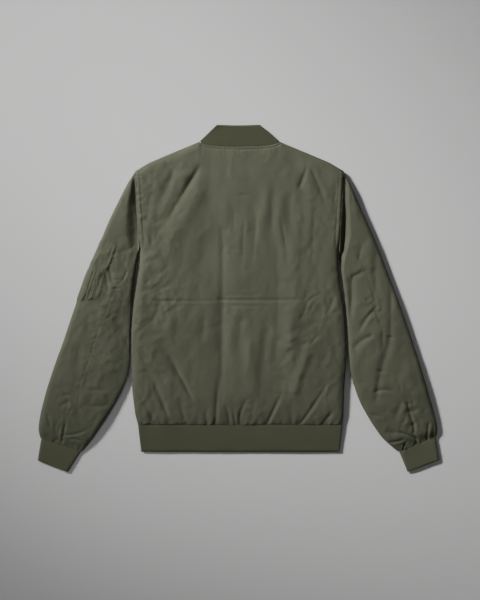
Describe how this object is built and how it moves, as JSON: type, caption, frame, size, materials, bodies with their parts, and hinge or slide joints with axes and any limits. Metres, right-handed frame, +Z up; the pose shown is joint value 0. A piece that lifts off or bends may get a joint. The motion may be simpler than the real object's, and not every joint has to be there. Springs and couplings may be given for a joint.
{
  "type": "bomber jacket",
  "caption": "Padded bomber jacket in olive twill with ribbed collar, hem and cuffs, a utility pocket on its left sleeve and a front zip, laid flat with its back up.",
  "frame": {"origin": "on the surface the jacket lies on, under the middle of its outline", "axes": "+Z up out of the back panel, +Y from the hem to the collar, +X across the laid-out back from the wearer's left sleeve to the right one"},
  "size_m": [0.866, 0.748, 0.0208],
  "materials": {
    "olive_twill": "satin",
    "olive_rib": "matte",
    "olive_tape": "matte",
    "dark_nickel": "satin"
  },
  "bodies": {
    "jacket": {"back": "olive_twill", "left_front": "olive_twill", "right_front": "olive_twill", "left_sleeve_outer": "olive_twill", "left_sleeve_under": "olive_twill", "right_sleeve_outer": "olive_twill", "right_sleeve_under": "olive_twill", "sleeve_pocket": "olive_twill", "pen_pocket": "olive_twill", "collar": "olive_rib", "hem_band": "olive_rib", "left_cuff": "olive_rib", "right_cuff": "olive_rib", "zip_tape_left": "olive_tape", "zip_tape_right": "olive_tape", "zip_chain": "dark_nickel", "zip_slider": "dark_nickel"},
    "pull": {"zip_pull": "dark_nickel"}
  },
  "joints": [
    {"name": "pull_hinge", "type": "hinge", "parent": "jacket", "child": "pull", "pos_m": [0, 0.2388, 0.0029], "axis": [1, 0, 0], "range_deg": [0, 150]}
  ]
}
